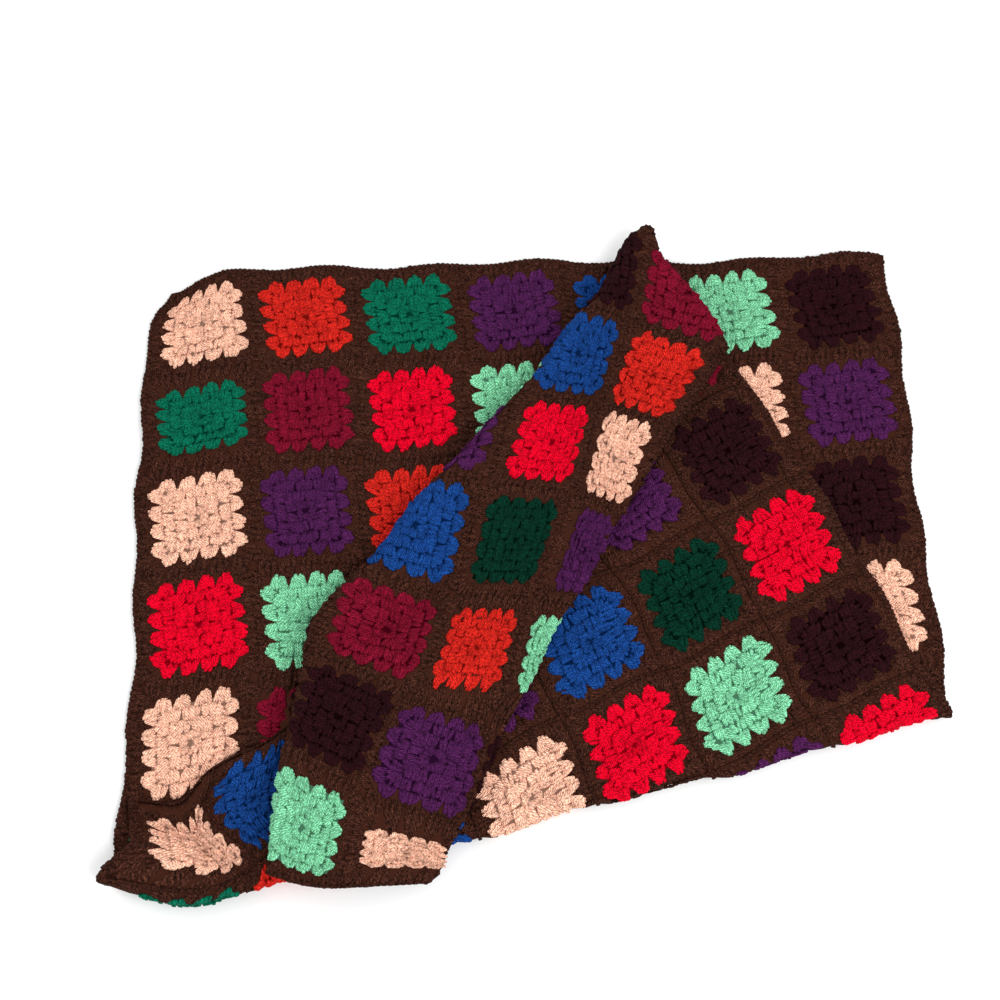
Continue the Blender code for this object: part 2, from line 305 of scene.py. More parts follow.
@dataclass(frozen=True)
class Folds:
    """The way the cloth lies: every bend, crease and unevenness.

    knee rounds the corner between the back and the lower crease, edge_fade is
    where the flap's lifted edge has come down again, wrinkle_out and wrinkle_in
    are how far the wrinkles fade past and before their ends, as shares of their
    length, and feeler is the step that the cloth's slope is felt with.
    """

    hem: Crease = Crease(3.0, 4.76, -0.219)
    back: Crease = Crease(3.6, 8.066, 0.409)
    lower: Crease = Crease(1.95, 7.32, -0.149)
    under: Crease = Crease(4.0, 10.494, 0.277)
    corner: Crease = Crease(6.5, 9.5, -1.167)
    hem_bend: float = 0.009
    left_columns: Tuple[float, float] = (-0.2, 1.5)
    left_rise: float = 0.12
    left_swell: float = 0.008
    flap_rest: float = 0.0088
    back_bend: float = 0.017
    band_rest: float = 0.021
    band_dome: float = 0.016
    tuck_bend: float = 0.0042
    settle: float = 0.06
    knee: float = 0.003
    edge_lift: float = 0.012
    edge_roll: float = 0.016
    edge_rise: float = 0.6
    edge_columns: Tuple[float, float] = (1.0, 1.9)
    squeeze: float = 0.273
    gather: float = 0.165
    gather_start: Tuple[float, float] = (2.4, 0.5)
    crush: float = 0.30
    crush_start: Tuple[float, float] = (1.3, 0.3)
    waves: Tuple[Tuple[float, float], ...] = ((0.0028, 1.0), (0.0030, 2.7))
    notch: Tuple[Tuple[float, float], ...] = (
        (-0.8, 6.52),
        (1.2, 6.52),
        (2.15, 7.15),
        (-0.8, 7.64),
    )
    ripple: float = 0.0011
    ripple_ways: Tuple[Tuple[float, float, float], ...] = ((31.0, 17.0, 0.0), (-29.0, 23.0, 1.3))
    edge_fade: float = 0.048
    wrinkle_out: float = 0.15
    wrinkle_in: float = 0.25
    most_power: float = 60.0
    least: float = 1e-4
    feeler: float = 0.0004
    shift: Tuple[float, float] = (0.0, 0.0)

    @staticmethod
    def bend(depth: Array, radius: float, inner: Array) -> Pair:
        """Cloth bent half a turn about a crease: place inner cos a - half, height radius + inner sin a.

        Args:
            depth: distance past the crease, along the cloth.
            radius: bend radius of the middle of the cloth.
            inner: the radius at which this layer goes round.

        Returns:
            The place across the crease and the height, with a = depth / radius.
        """
        half = 0.5 * np.pi * radius
        angle = np.clip(depth / radius, -0.5 * np.pi, 0.5 * np.pi)
        place = np.where(abs(depth) < half, inner * np.cos(angle) - half, -abs(depth))
        return place, radius + inner * np.sin(angle)

    def tuck(self, x: Array, y: Array, crease: Crease) -> Tuple[Array, Array, Array]:
        """Cloth past a crease turned under, and how deep it then lies."""
        depth = crease.depth(x, y)
        place, buried = self.bend(depth, self.tuck_bend, self.tuck_bend)
        move = place - depth
        return x + move * crease.far[0], y + move * crease.far[1], buried

    def band(self, x: Array, y: Array) -> Tuple[Array, Array, Array, Array]:
        """The band past the back crease, lying on the flap.

        The depth past the crease is a soft minimum of the depths past its upper
        and lower stretches. The height runs round the roll, up a dome sin^2 and
        down to its rest at the tucked edge.

        Args:
            x: flat places to the right.
            y: flat places away.

        Returns:
            Places before the hem is folded, height over the flap, and depth.
        """
        x, y, first = self.tuck(x, y, self.under)
        x, y, second = self.tuck(x, y, self.corner)
        column = to_squares(x, y)[0]
        by_back = self.back.depth(x, y)
        by_lower = self.lower.depth(x, y)
        power = np.clip((by_back - by_lower) / self.knee, -self.most_power, self.most_power)
        share = 1.0 / (1.0 + np.exp(power))
        least = np.minimum(by_back, by_lower)
        spare = np.exp((least - by_back) / self.knee) + np.exp((least - by_lower) / self.knee)
        depth = least - self.knee * np.log(spare)
        way_x = share * self.back.far[0] + (1.0 - share) * self.lower.far[0]
        way_y = share * self.back.far[1] + (1.0 - share) * self.lower.far[1]
        size = np.hypot(way_x, way_y)
        out_x, out_y = self.back.mirror_way(-way_x / size, -way_y / size)

        place, height = self.bend(depth, self.back_bend, self.back_bend - first - second)
        past = np.clip(depth - 0.5 * np.pi * self.back_bend, 0.0, None)
        left = np.clip(-self.under.depth(x, y), 0.0, None) + self.least
        across = past / (past + left)
        height = height - (2.0 * self.back_bend - self.band_rest) * soft_step(0.0, 1.0, across)
        height = height + self.band_dome * np.sin(np.pi * across) ** 2
        shift = place + depth
        shift = shift + self.squeeze * past
        gather = self.gather * PITCH * soft_ramp(*self.gather_start, column)
        x, y = self.back.mirror(x, y)
        x = x + out_x * shift + self.back.along[0] * gather
        y = y + out_y * shift + self.back.along[1] * gather
        return x, y, height, depth

    def notch_side(self, x: Array, y: Array) -> Array:
        """Distance from the notch's side on the flap, positive on the flap."""
        (start_x, start_y), (end_x, end_y) = to_plane(*self.notch[0]), to_plane(*self.notch[1])
        size = np.hypot(end_x - start_x, end_y - start_y)
        return ((end_x - start_x) * (y - start_y) - (end_y - start_y) * (x - start_x)) / size

    def in_notch(self, x: Array, y: Array, margin: float = 0.0) -> Array:
        """Whether each flat place is in the notch, where the hidden pleat is left out."""
        corners = [to_plane(column, row) for column, row in self.notch]
        inside = np.ones(np.shape(x), bool)
        for (start_x, start_y), (end_x, end_y) in zip(corners[:-1], corners[1:]):
            way_x, way_y = end_x - start_x, end_y - start_y
            size = np.hypot(way_x, way_y)
            inside &= (way_x * (y - start_y) - way_y * (x - start_x)) / size < margin
        return inside

    def wrinkled(self, column: Array, row: Array) -> Array:
        """The height that the wrinkles add: lift e^(-(across / half width)^2), fading at their ends."""
        height = np.zeros(np.shape(column))
        for item in WRINKLES:
            way_c, way_r = item.to_column - item.column, item.to_row - item.row
            size = float(np.hypot(way_c, way_r))
            along = ((column - item.column) * way_c + (row - item.row) * way_r) / size**2
            across = ((column - item.column) * way_r - (row - item.row) * way_c) / size
            ends = soft_step(-self.wrinkle_out, self.wrinkle_in, along)
            ends = ends * soft_step(-self.wrinkle_out, self.wrinkle_in, 1.0 - along)
            height = height + item.lift * ends * np.exp(-((across / item.half_width) ** 2))
        return height

    def middle(self, x: Array, y: Array) -> Array:
        """Folded places of the middle of the cloth.

        Args:
            x: flat places to the right, in metres.
            y: flat places away, in metres.

        Returns:
            An array of places with a last axis of three.
        """
        column, row = to_squares(x, y)
        at_left = 1.0 - soft_step(*self.left_columns, column)
        rise = self.left_rise * PITCH * at_left
        radius = self.hem_bend + self.left_swell * at_left
        straight = self.hem.depth(x, y)
        depth = straight + rise
        half = 0.5 * np.pi * radius
        place, height = self.bend(depth, radius, radius)
        drop = 2.0 * radius - self.flap_rest
        past_hem = soft_step(half, half + self.settle, depth)
        height = height - drop * past_hem
        for puff in PUFFS:
            gap = (column - puff.column) ** 2 + (row - puff.row) ** 2
            height = height + puff.lift * past_hem * np.exp(-gap / (2.0 * puff.reach**2))
        side = self.notch_side(x, y)
        rolled = self.edge_rise - (1.0 - soft_step(0.0, self.edge_roll, side))
        rolled = rolled * (1.0 - soft_step(*self.edge_columns, column))
        near = 1.0 - soft_step(self.edge_roll, self.edge_fade, side)
        height = height + self.edge_lift * rolled * near * past_hem
        move = place - rise - straight
        crush = self.crush * PITCH * soft_ramp(*self.crush_start, column)
        flap_x = x + move * self.hem.far[0] + crush * soft_step(0.0, self.settle, depth)
        flap_y = y + move * self.hem.far[1]

        band_x, band_y, band_height, band_depth = self.band(x, y)
        band_x, band_y = self.hem.mirror(band_x, band_y)
        on_band = band_depth > -0.5 * np.pi * self.back_bend
        at_x = np.where(on_band, band_x, flap_x)
        at_y = np.where(on_band, band_y, flap_y)
        height = np.where(on_band, self.flap_rest + band_height, height)
        height = height + self.wrinkled(column, row)
        for size, length in self.waves:
            at_x = at_x + size * np.sin(2.0 * np.pi * row / length)
            at_y = at_y + size * np.sin(2.0 * np.pi * column / length)
        for nudge in NUDGES:
            gap = (column - nudge.column) ** 2 + (row - nudge.row) ** 2
            weight = PITCH * np.exp(-gap / (2.0 * nudge.reach**2))
            at_x = at_x + nudge.right * weight
            at_y = at_y + nudge.away * weight
        ripple = 2.0 + sum(np.sin(a * at_x + b * at_y + c) for a, b, c in self.ripple_ways)
        height = height + 0.5 * THICK + self.ripple * ripple
        return np.stack([at_x + self.shift[0], at_y + self.shift[1], height], axis=-1)

    def carry(self, flat: Array) -> Array:
        """Folded places of flat points: middle + rise times the cloth's normal.

        Args:
            flat: points as x, y and rise over the middle, on the last axis.

        Returns:
            Places of the same shape.
        """
        step = self.feeler
        x, y, rise = flat[..., 0], flat[..., 1], flat[..., 2:]
        centre = self.middle(x, y)
        normal = np.cross(self.middle(x + step, y) - centre, self.middle(x, y + step) - centre)
        size = np.linalg.norm(normal, axis=-1, keepdims=True)
        return centre + rise * normal / np.maximum(size, TINY)


def fitted_folds() -> Folds:
    """The folds, shifted so that the cloth's box is centred where the solid's is."""
    across, along = np.meshgrid(
        np.linspace(-RIM, COLUMNS - 1 + RIM, FIT_GRID[0]),
        np.linspace(-RIM, ROWS - 1 + RIM, FIT_GRID[1]),
    )
    x, y = to_plane(across.ravel(), along.ravel())
    plain = Folds(ripple=0.0)
    keep = ~plain.in_notch(x, y)
    places = plain.middle(x[keep], y[keep])
    low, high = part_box("blanket")
    own_low, own_high = places.min(axis=0), places.max(axis=0)
    shift = tuple(
        float(0.5 * (low[axis] + high[axis]) - 0.5 * (own_low[axis] + own_high[axis]))
        for axis in (0, 1)
    )
    LOG.info("cloth shifted by %.4f, %.4f m", *shift)
    return Folds(shift=shift)


@dataclass(frozen=True)
class StitchShape:
    """The outline of one treble-like stitch, root to head, for a ring at each share of its length.

    shares are the rings' places along the stitch, wide their half widths along
    the round and deep their half thicknesses, in metres. Painted shade darkens
    the stitch's colour at its root, to the share in the first of the last two
    fields, and fades out along the stitch by the share in the second.
    """

    shares: Tuple[float, ...]
    wide: Tuple[float, ...]
    deep: Tuple[float, ...]
    sides: int = 5
    # Painted shade: the share of the colour left at the root, and where along the stitch it has faded out.
    root_tone: float = 0.84
    painted_shade_end: float = 0.5


POST = StitchShape(
    shares=(0.0, 0.35, 0.82, 1.0),
    wide=(0.0028, 0.0036, 0.0038, 0.0022),
    deep=(0.0016, 0.0024, 0.0028, 0.0014),
)
STRAND = StitchShape(
    shares=(0.0, 0.35, 0.85, 1.0),
    wide=(0.0018, 0.0026, 0.0028, 0.0017),
    deep=(0.0014, 0.0024, 0.0028, 0.0014),
)
BROWN_POST = StitchShape(
    shares=(0.0, 0.35, 0.80, 1.0),
    wide=(0.0024, 0.0035, 0.0042, 0.0026),
    deep=(0.0015, 0.0022, 0.0024, 0.0012),
)
KNOT = StitchShape(
    shares=(0.0, 0.25, 0.70, 1.0),
    wide=(0.0009, 0.0021, 0.0022, 0.0010),
    deep=(0.0008, 0.0017, 0.0017, 0.0008),
    sides=4,
)


@dataclass
class StitchSet:
    """Many stitches of one kind, in the flat: roots and heads as (x, y, rise), and tones.

    The strays are how far the ends stray and fat the range of thickness, both at
    random, and first_turn is the angle of the outline's first point.
    """

    shape: StitchShape
    root: List[Array] = field(default_factory=list)
    head: List[Array] = field(default_factory=list)
    tone: List[Array] = field(default_factory=list)
    root_stray: float = 0.00025
    head_stray: float = 0.00035
    fat: Tuple[float, float] = (0.92, 1.08)
    first_turn: float = 0.3

    def add(self, root: Array, head: Array, tone: Array) -> None:
        """Adds stitches from their root and head points (x, y, rise) and their tones."""
        self.root.append(root)
        self.head.append(head)
        self.tone.append(tone)

    def mesh(self, name: str, folds: Folds, noise: np.random.Generator) -> bpy.types.Object:
        """One object of all the stitches, carried through the folds.

        A point is root + share (head - root) + side wide cos(t) + up deep sin(t),
        worked out in the flat for every ring and every turn t at once.

        Args:
            name: the object's name.
            folds: how the cloth lies.
            noise: the source of small unevenness.

        Returns:
            The linked object, with a UV map along the stitches and a tone on each point that holds painted
            shade at the stitches' roots.
        """
        shape = self.shape
        root = np.concatenate(self.root)
        head = np.concatenate(self.head)
        tone = np.concatenate(self.tone)
        count = len(root)
        root = root + noise.normal(0.0, self.root_stray, root.shape)
        head = head + noise.normal(0.0, self.head_stray, head.shape)
        way = head - root
        length = np.linalg.norm(way[:, :2], axis=1, keepdims=True)
        side = np.stack([-way[:, 1], way[:, 0]], axis=1) / length
        fat = noise.uniform(*self.fat, (count, 1, 1))
        shares = np.array(shape.shares)[None, :, None]
        wide = np.array(shape.wide)[None, :, None] * fat
        deep = np.array(shape.deep)[None, :, None] * fat
        turns = np.arange(shape.sides) * 2.0 * np.pi / shape.sides + self.first_turn
        cos, sin = np.cos(turns)[None, None, :], np.sin(turns)[None, None, :]
        flat = np.empty((count, len(shape.shares), shape.sides, 3))
        for axis in (0, 1):
            line = root[:, axis, None, None] + shares * way[:, axis, None, None]
            flat[..., axis] = line + side[:, axis, None, None] * wide * cos
        rise = root[:, 2, None, None] + shares * way[:, 2, None, None]
        flat[..., 2] = rise + deep * sin
        points = folds.carry(flat.reshape(-1, 3))
        return linked_tubes(name, points, count, shape, tone)


def linked_tubes(
    name: str, points: Array, count: int, shape: StitchShape, tone: Array
) -> bpy.types.Object:
    """Joins rings of points into closed tubes, all in one mesh.

    Args:
        name: the object's name.
        points: every tube's rings one after another.
        count: how many tubes there are.
        shape: the shape that gives rings and sides.
        tone: a tone for each tube.

    Returns:
        The linked object.
    """
    rings, sides = len(shape.shares), shape.sides
    base = np.arange(count)[:, None, None] * rings * sides
    ring = np.arange(rings - 1)[None, :, None] * sides
    turn = np.arange(sides)[None, None, :]
    after = (turn + 1) % sides
    quads = np.stack(
        [base + ring + turn, base + ring + after, base + ring + sides + after, base + ring + sides + turn],
        axis=-1,
    ).reshape(-1, 4)
    foot = (base[:, :, 0] + np.arange(sides)[None, ::-1]).reshape(-1, sides)
    top = (base[:, :, 0] + (rings - 1) * sides + np.arange(sides)[None, :]).reshape(-1, sides)
    loops = np.concatenate([quads.ravel(), foot.ravel(), top.ravel()]).astype(np.int32)
    sizes = np.concatenate([np.full(len(quads), 4), np.full(2 * count, sides)])
    starts = np.concatenate([[0], np.cumsum(sizes)[:-1]]).astype(np.int32)

    mesh = bpy.data.meshes.new(name)
    mesh.vertices.add(len(points))
    mesh.vertices.foreach_set("co", points.astype(np.float32).ravel())
    mesh.loops.add(len(loops))
    mesh.loops.foreach_set("vertex_index", loops)
    mesh.polygons.add(len(sizes))
    mesh.polygons.foreach_set("loop_start", starts)
    mesh.polygons.foreach_set("use_smooth", np.ones(len(sizes), bool))
    mesh.update(calc_edges=True)

    share = np.broadcast_to(np.array(shape.shares)[None, :, None], (count, rings, sides)).ravel()
    around = np.broadcast_to(np.arange(sides)[None, None, :] / sides, (count, rings, sides)).ravel()
    uv = np.stack([around[loops], share[loops]], axis=1)
    wrap = np.zeros(len(loops))
    is_quad = np.arange(len(loops)) < quads.size
    corner = np.arange(len(loops)) % 4
    last = np.zeros(len(loops), bool)
    last[is_quad] = (loops[is_quad] % sides == 0) & ((corner[is_quad] == 1) | (corner[is_quad] == 2))
    wrap[last] = 1.0
    uv[:, 0] += wrap
    layer = mesh.uv_layers.new(name="yarn")
    layer.data.foreach_set("uv", uv.astype(np.float32).ravel())
    # Each point's tone: its stitch's random tone, darkened towards the root as painted shade.
    tones = mesh.attributes.new("tone", "FLOAT", "POINT")
    lit = soft_step(0.0, shape.painted_shade_end, share)
    shade = np.repeat(tone, rings * sides) * (shape.root_tone + (1.0 - shape.root_tone) * lit)
    tones.data.foreach_set("value", shade.astype(np.float32))
    thing = bpy.data.objects.new(name, mesh)
    bpy.context.scene.collection.objects.link(thing)
    return thing


@dataclass(frozen=True)
class RoundForm:
    """How the stitches of one kind of round stand, in metres but for the shares.

    reach is the share of the side that the heads fill and draw the share of
    their even spacing within a cluster. sink takes a cluster's outer heads back,
    out moves all heads outwards and foot spreads the roots.
    """

    reach: float
    draw: float
    sink: float
    out: float
    foot: float


CLOSENESS = 0.83
INNER = RoundForm(reach=CLOSENESS, draw=0.98, sink=0.0014, out=-0.0012, foot=0.0050)
TOOTHED = RoundForm(reach=CLOSENESS, draw=0.34, sink=0.0026, out=0.0006, foot=0.0092)
JOINING = RoundForm(reach=0.96, draw=0.98, sink=0.0, out=0.0008, foot=0.0028)


@dataclass(frozen=True)
class GrannySquare:
    """One granny square: rounds of three-stitch clusters, each side alike.

    Round k has k clusters a side. Each cluster is worked into a gap of the round
    before, so its root lies between two clusters there. The heads of the last
    coloured round draw together into teeth. dip takes the roots down into the
    round before, strands are half the distances of a stitch's two strands at
    root and head, and stray is how far both stray at random. lean is how far
    roots sink and heads rise, or the reverse in a turned square's coloured rounds.
    """

    column: int
    row: int
    rounds: int = 5
    size: Tuple[float, float] = (1.0, 1.0)
    dip: float = 0.0058
    first_dip: float = -0.002
    strands: Tuple[float, float] = (0.0010, 0.0020)
    lean: float = 0.0014
    stray: float = 0.0006
    tone_spread: float = 0.07
    turned: bool = False

    def cluster_side(self, level: int) -> Tuple[Array, Array]:
        """Roots and heads of one side of a round, as (along, outward) pairs.

        Heads stand evenly along the side, then draw towards their cluster's
        middle. Roots stand in the gaps of the round before.

        Args:
            level: the round, from 1.

        Returns:
            Roots and heads, a point for each strand: two to a coloured stitch, one to a brown.
        """
        last = level == self.rounds
        inner = (level - 1) * ROUND
        outer = 0.5 * PITCH if last else level * ROUND
        form = JOINING if last else TOOTHED if level == self.rounds - 1 else INNER
        cluster = np.repeat(np.arange(level), 3)
        stitch = np.tile(np.arange(3) - 1.0, level)
        reach = 2.0 * outer * form.reach
        middle = (cluster + 0.5) / level * reach - 0.5 * reach
        spread = reach / (3 * level)
        head_u = middle + stitch * spread * form.draw
        head_v = np.full(3 * level, outer + form.out) - form.sink * stitch**2
        share = cluster / (level - 1) - 0.5 if level > 1 else np.zeros(3)
        root_u = share * 2.0 * inner * CLOSENESS + stitch * form.foot
        dip = self.dip if level > 1 else self.first_dip
        root_v = np.full(3 * level, inner - dip)
        if not last:
            apart = np.tile([-1.0, 1.0], 3 * level)
            root_u, head_u = np.repeat(root_u, 2), np.repeat(head_u, 2)
            root_v, head_v = np.repeat(root_v, 2), np.repeat(head_v, 2)
            root_u = root_u + apart * self.strands[0]
            head_u = head_u + apart * self.strands[1]
        return np.stack([root_u, root_v], 1), np.stack([head_u, head_v], 1)

    def all_round(
        self, side: Tuple[Array, Array], held: bool, noise: np.random.Generator
    ) -> Tuple[Array, Array, Array]:
        """Roots, heads and tones of a side's stitches repeated on all four sides.

        Args:
            side: roots and heads of one side, as (along, outward) pairs.
            held: True where the heads keep to the joint however small the square is.
            noise: the source of the tones.

        Returns:
            Roots and heads in flat metres, and a tone for each stitch.
        """
        at_x, at_y = to_plane(float(self.column), float(self.row))
        sizes = (self.size, (1.0, 1.0) if held else self.size)
        lean = -self.lean if self.turned and not held else self.lean
        laid: Tuple[List[Array], List[Array]] = ([], [])
        for quarter in range(4):
            cos, sin = np.cos(quarter * np.pi / 2), np.sin(quarter * np.pi / 2)
            for source, into, rise, size in zip(side, laid, (-lean, lean), sizes):
                x = at_x + size[0] * (source[:, 0] * cos - source[:, 1] * sin)
                y = at_y + size[1] * (source[:, 0] * sin + source[:, 1] * cos)
                stray = noise.normal(0.0, self.stray, (len(x), 3))
                into.append(np.stack([x, y, np.full(len(x), rise)], 1) + stray)
        tone = noise.normal(1.0, self.tone_spread, 4 * len(side[0]))
        return np.concatenate(laid[0]), np.concatenate(laid[1]), tone


@dataclass
class Crochet:
    """All the stitches of the blanket, sorted by yarn.

    Steps are from stitch to stitch, ease is the spread of the squares' sizes, and
    a tone is a mean and a spread. A knot reaches knot_half along its joint and
    knot_slant across it, both ways. Edging stitches start edge_root inside
    the squares' outer joint.
    """

    folds: Folds
    noise: np.random.Generator
    brown_groups: int = 3
    seam_step: float = 0.0056
    edge_step: float = 0.0058
    ease: float = 0.012
    notch_gap: float = 0.001
    knot_half: float = 0.0036
    knot_slant: float = 0.0012
    knot_rise: float = -0.0017
    knot_drop: float = 0.0004
    knot_tone: Tuple[float, float] = (1.05, 0.06)
    edge_root: float = 0.003
    edge_inset: float = 0.001
    edge_tone: Tuple[float, float] = (0.98, 0.06)

    def kept(self, root: Array, head: Array, tone: Array) -> Tuple[Array, Array, Array]:
        """Only the stitches that stand clear of the notch."""
        clear = ~self.folds.in_notch(root[:, 0], root[:, 1], self.notch_gap)
        clear &= ~self.folds.in_notch(head[:, 0], head[:, 1], self.notch_gap)
        return root[clear], head[clear], tone[clear]

    def squares(self) -> Dict[str, StitchSet]:
        """The squares' stitches: a set for each colour and a few for the brown rounds."""
        sets: Dict[str, StitchSet] = {}
        for row in range(ROWS):
            for column in range(COLUMNS):
                ease = float(self.noise.normal(1.0, self.ease))
                across, along = DRAWN_IN.get((column, row), (1.0, 1.0))
                turned = row in TURNED_ROWS or (column, row) in TURNED_SQUARES
                square = GrannySquare(column, row, size=(ease * across, ease * along), turned=turned)
                for level in range(1, square.rounds + 1):
                    last = level == square.rounds
                    yarn, shape = LAYOUT[row][column].name.lower(), STRAND
                    if last:
                        yarn, shape = f"brown_{row * self.brown_groups // ROWS + 1}", BROWN_POST
                    group = sets.setdefault(f"yarn_{yarn}", StitchSet(shape))
                    group.add(*self.kept(*square.all_round(square.cluster_side(level), last, self.noise)))
        return sets

    def seam(self) -> StitchSet:
        """The joining ridge on the reverse: slanting knots along every joint of two squares."""
        stitches = StitchSet(KNOT)
        low_x, high_y = to_plane(-0.5, -0.5)
        high_x, low_y = to_plane(COLUMNS - 0.5, ROWS - 0.5)
        along_x = np.arange(low_x, high_x, self.seam_step)
        along_y = np.arange(low_y, high_y, self.seam_step)
        slant, half = self.knot_slant, self.knot_half
        for joint in range(1, ROWS):
            y = to_plane(0.0, joint - 0.5)[1]
            self.add_knots(stitches, along_x, np.full(len(along_x), y), (half, slant))
        for joint in range(1, COLUMNS):
            x = to_plane(joint - 0.5, 0.0)[0]
            self.add_knots(stitches, np.full(len(along_y), x), along_y, (slant, half))
        return stitches

    def add_knots(self, stitches: StitchSet, x: Array, y: Array, way: Tuple[float, float]) -> None:
        """Adds knots at places along a joint, each lying along a way."""
        rise = np.full(len(x), self.knot_rise)
        root = np.stack([x - way[0], y - way[1], rise], 1)
        head = np.stack([x + way[0], y + way[1], rise - self.knot_drop], 1)
        tone = self.noise.normal(*self.knot_tone, len(x))
        stitches.add(*self.kept(root, head, tone))

    def edging(self) -> StitchSet:
        """The outer edging: a round of short stitches standing out from the rim."""
        stitches = StitchSet(POST)
        low_x, high_y = to_plane(-0.5, -0.5)
        high_x, low_y = to_plane(COLUMNS - 0.5, ROWS - 0.5)
        across = np.arange(low_x + self.edge_inset, high_x, self.edge_step)
        along = np.arange(low_y + self.edge_inset, high_y, self.edge_step)
        sides = (
            (across, np.full(len(across), high_y), 0.0, 1.0),
            (across, np.full(len(across), low_y), 0.0, -1.0),
            (np.full(len(along), low_x), along, -1.0, 0.0),
            (np.full(len(along), high_x), along, 1.0, 0.0),
        )
        for x, y, out_x, out_y in sides:
            flat = np.zeros(len(x))
            reach = EDGING - self.edge_inset
            root = np.stack([x - out_x * self.edge_root, y - out_y * self.edge_root, flat], 1)
            head = np.stack([x + out_x * reach, y + out_y * reach, flat], 1)
            stitches.add(*self.kept(root, head, self.noise.normal(*self.edge_tone, len(x))))
        return stitches


@dataclass(frozen=True)
class YarnFinish:
    """Soft twisted wool of one colour.

    mottle is the share by which random patches change the colour, and groove the share of painted shade in
    the grooves between plies and painted highlight on their crests.
    """

    yarn: Yarn
    roughness: float = 0.92
    sheen: float = 0.08
    sheen_roughness: float = 0.5
    twist_turns: float = 3.0
    twist_depth: float = 0.0014
    fuzz_depth: float = 0.0010
    mottle: float = 0.55
    painted_ply_shade: float = 0.36
    specular: float = 0.06
    sheen_gain: float = 1.6
    fibre_scale: float = 1100.0
    fibre_detail: float = 2.0
    mottle_scale: float = 460.0
    mottle_detail: float = 3.0
    mottle_range: Tuple[float, float] = (0.3, 0.7)
    distortion: float = 2.2
    twist_strength: float = 0.8
    fuzz_strength: float = 0.7

    def colour(self, gain: float = 1.0) -> Tuple[float, float, float, float]:
        """The yarn's colour in linear light, times a gain."""
        linear = [((v + 0.055) / 1.055) ** 2.4 if v > 0.04 else v / 12.92 for v in self.yarn.value]
        return (*[min(1.0, gain * v) for v in linear], 1.0)

    def material(self) -> bpy.types.Material:
        """The node material: random tone and mottle in the colour, with painted shade at the stitches'
        roots and painted shade and highlight along the plies; plies and fibres in the bump.
        """
        name = f"{self.yarn.name.lower()}_wool"
        if name in bpy.data.materials:
            return bpy.data.materials[name]
        made = bpy.data.materials.new(name)
        made.use_nodes = True
        nodes, links = made.node_tree.nodes, made.node_tree.links
        shader = nodes["Principled BSDF"]
        shader.inputs["Roughness"].default_value = self.roughness
        shader.inputs["Sheen Weight"].default_value = self.sheen
        shader.inputs["Sheen Roughness"].default_value = self.sheen_roughness
        shader.inputs["Sheen Tint"].default_value = self.colour(self.sheen_gain)
        shader.inputs["Specular IOR Level"].default_value = self.specular

        place = nodes.new("ShaderNodeTexCoord")
        fibres = nodes.new("ShaderNodeTexNoise")
        fibres.inputs["Scale"].default_value = self.fibre_scale
        fibres.inputs["Detail"].default_value = self.fibre_detail
        links.new(place.outputs["Object"], fibres.inputs["Vector"])
        mottle = nodes.new("ShaderNodeTexNoise")
        mottle.inputs["Scale"].default_value = self.mottle_scale
        mottle.inputs["Detail"].default_value = self.mottle_detail
        links.new(place.outputs["Object"], mottle.inputs["Vector"])

        # The tone attribute holds each stitch's random tone times painted shade at its root.
        tone = nodes.new("ShaderNodeAttribute")
        tone.attribute_name = "tone"
        spread = nodes.new("ShaderNodeMapRange")
        spread.inputs["From Min"].default_value = self.mottle_range[0]
        spread.inputs["From Max"].default_value = self.mottle_range[1]
        spread.inputs["To Min"].default_value = 1.0 - self.mottle
        spread.inputs["To Max"].default_value = 1.0 + self.mottle
        links.new(mottle.outputs["Fac"], spread.inputs["Value"])
        plies = nodes.new("ShaderNodeTexWave")
        plies.bands_direction = "DIAGONAL"
        plies.inputs["Scale"].default_value = self.twist_turns
        plies.inputs["Distortion"].default_value = self.distortion
        links.new(place.outputs["UV"], plies.inputs["Vector"])
        # Painted shade in the grooves between plies and painted highlight on their crests, following the
        # twist.
        painted_ply_shade = nodes.new("ShaderNodeMapRange")
        painted_ply_shade.inputs["To Min"].default_value = 1.0 - self.painted_ply_shade
        painted_ply_shade.inputs["To Max"].default_value = 1.0 + self.painted_ply_shade
        links.new(plies.outputs["Fac"], painted_ply_shade.inputs["Value"])
        tone_and_painted_shade = nodes.new("ShaderNodeMath")
        tone_and_painted_shade.operation = "MULTIPLY"
        links.new(tone.outputs["Fac"], tone_and_painted_shade.inputs[0])
        links.new(painted_ply_shade.outputs["Result"], tone_and_painted_shade.inputs[1])
        product = nodes.new("ShaderNodeMath")
        product.operation = "MULTIPLY"
        links.new(tone_and_painted_shade.outputs["Value"], product.inputs[0])
        links.new(spread.outputs["Result"], product.inputs[1])
        colour = nodes.new("ShaderNodeVectorMath")
        colour.operation = "SCALE"
        colour.inputs[0].default_value = self.colour()[:3]
        links.new(product.outputs["Value"], colour.inputs["Scale"])
        links.new(colour.outputs["Vector"], shader.inputs["Base Color"])

        twist = nodes.new("ShaderNodeBump")
        twist.inputs["Strength"].default_value = self.twist_strength
        twist.inputs["Distance"].default_value = self.twist_depth
        links.new(plies.outputs["Fac"], twist.inputs["Height"])
        fuzz = nodes.new("ShaderNodeBump")
        fuzz.inputs["Strength"].default_value = self.fuzz_strength
        fuzz.inputs["Distance"].default_value = self.fuzz_depth
        links.new(fibres.outputs["Fac"], fuzz.inputs["Height"])
        links.new(twist.outputs["Normal"], fuzz.inputs["Normal"])
        links.new(fuzz.outputs["Normal"], shader.inputs["Normal"])
        return made


